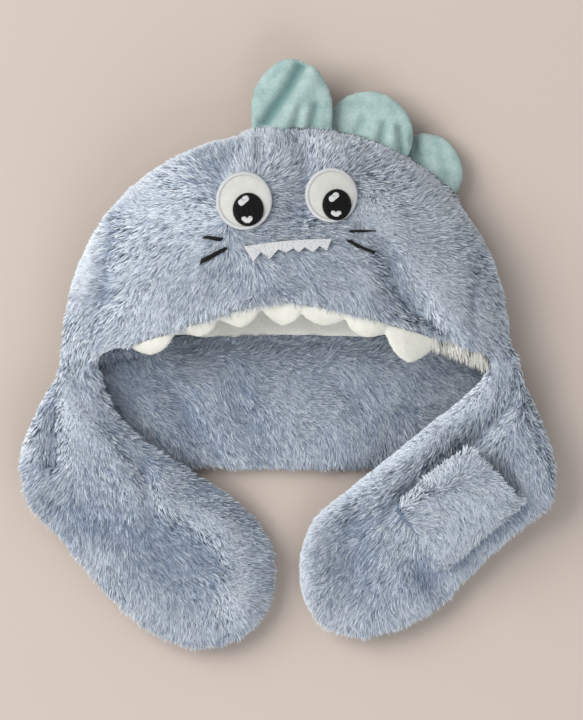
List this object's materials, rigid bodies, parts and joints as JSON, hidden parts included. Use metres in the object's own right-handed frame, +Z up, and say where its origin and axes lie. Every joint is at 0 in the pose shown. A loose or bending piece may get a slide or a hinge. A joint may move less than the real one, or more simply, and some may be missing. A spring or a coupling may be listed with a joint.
{
  "type": "plush hood with scarf tails",
  "caption": "Child's plush hood with a monster face, stuffed teeth, crest spikes and two folded scarf tails, one with a keeper loop, lying flat.",
  "frame": {"origin": "on the floor, below the middle of the whole object as it lies on its back", "axes": "+Z up, out of the face; +Y towards the crown's tip; +X to the right of the face as seen from above"},
  "size_m": [0.3235, 0.3543, 0.0659],
  "materials": {
    "plush": "soft blue-grey faux fur, pile about 9 mm, darker at the roots",
    "lining": "cream short-pile fleece",
    "tooth_fleece": "white brushed fleece, lightly stuffed",
    "spike_velour": "mint velour with a short nap, lightly stuffed",
    "eye_felt": "white velour inside a satin-stitched border",
    "black_thread": "black embroidery thread, satin stitch",
    "white_thread": "white embroidery thread, fill stitch"
  },
  "bodies": {
    "root": {"crown_shell": "plush", "crown_lining": "lining", "neck_band": "plush", "left_tail": "plush", "right_tail": "plush", "keeper_loop": "plush", "tooth_1": "tooth_fleece", "tooth_2": "tooth_fleece", "tooth_3": "tooth_fleece", "tooth_4": "tooth_fleece", "tooth_5": "tooth_fleece", "tooth_6": "tooth_fleece", "tooth_7": "tooth_fleece", "spike_1": "spike_velour", "spike_2": "spike_velour", "spike_3": "spike_velour", "left_eye": "eye_felt", "right_eye": "eye_felt", "left_pupil": "black_thread", "right_pupil": "black_thread", "mouth_patch": "white_thread", "whisker_1": "black_thread", "whisker_2": "black_thread", "whisker_3": "black_thread", "whisker_4": "black_thread"}
  },
  "joints": []
}
